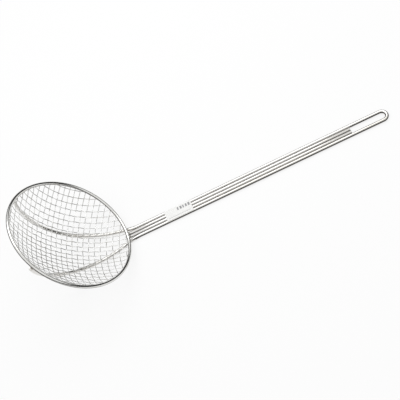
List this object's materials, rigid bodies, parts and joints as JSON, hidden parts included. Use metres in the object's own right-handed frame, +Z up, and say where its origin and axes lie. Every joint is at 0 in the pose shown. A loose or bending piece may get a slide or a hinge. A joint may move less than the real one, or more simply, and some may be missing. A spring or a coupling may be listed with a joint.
{
  "type": "wire mesh skimmer",
  "caption": "Round shallow bowl of woven plated wire mesh in a wire rim, on a flat handle of parallel wires with ribs under the bowl and a hanging loop at the far end.",
  "frame": {"origin": "on the surface that the handle lies on, under the middle of the skimmer's outline", "axes": "+X along the handle from the bowl to the hanging loop, +Y across the handle, +Z up from the handle's underside"},
  "size_m": [0.4438, 0.1522, 0.1171],
  "materials": {
    "plated_wire": "bright nickel plate",
    "mesh_wire": "bright nickel plate, a little duller",
    "label_paper": "matt white paper"
  },
  "bodies": {
    "root": {"rim_ring": "plated_wire", "frame_wire": "plated_wire", "inner_handle_wire_left": "plated_wire", "inner_handle_wire_right": "plated_wire", "mesh_wire_along_01": "mesh_wire", "mesh_wire_along_02": "mesh_wire", "mesh_wire_along_03": "mesh_wire", "mesh_wire_along_04": "mesh_wire", "mesh_wire_along_05": "mesh_wire", "mesh_wire_along_06": "mesh_wire", "mesh_wire_along_07": "mesh_wire", "mesh_wire_along_08": "mesh_wire", "mesh_wire_along_09": "mesh_wire", "mesh_wire_along_10": "mesh_wire", "mesh_wire_along_11": "mesh_wire", "mesh_wire_along_12": "mesh_wire", "mesh_wire_along_13": "mesh_wire", "mesh_wire_along_14": "mesh_wire", "mesh_wire_along_15": "mesh_wire", "mesh_wire_along_16": "mesh_wire", "mesh_wire_along_17": "mesh_wire", "mesh_wire_along_18": "mesh_wire", "mesh_wire_along_19": "mesh_wire", "mesh_wire_along_20": "mesh_wire", "mesh_wire_along_21": "mesh_wire", "mesh_wire_along_22": "mesh_wire", "mesh_wire_along_23": "mesh_wire", "mesh_wire_across_01": "mesh_wire", "mesh_wire_across_02": "mesh_wire", "mesh_wire_across_03": "mesh_wire", "mesh_wire_across_04": "mesh_wire", "mesh_wire_across_05": "mesh_wire", "mesh_wire_across_06": "mesh_wire", "mesh_wire_across_07": "mesh_wire", "mesh_wire_across_08": "mesh_wire", "mesh_wire_across_09": "mesh_wire", "mesh_wire_across_10": "mesh_wire", "mesh_wire_across_11": "mesh_wire", "mesh_wire_across_12": "mesh_wire", "mesh_wire_across_13": "mesh_wire", "mesh_wire_across_14": "mesh_wire", "mesh_wire_across_15": "mesh_wire", "mesh_wire_across_16": "mesh_wire", "mesh_wire_across_17": "mesh_wire", "mesh_wire_across_18": "mesh_wire", "mesh_wire_across_19": "mesh_wire", "mesh_wire_across_20": "mesh_wire", "mesh_wire_across_21": "mesh_wire", "mesh_wire_across_22": "mesh_wire", "mesh_wire_across_23": "mesh_wire", "paper_label": "label_paper"}
  },
  "joints": []
}
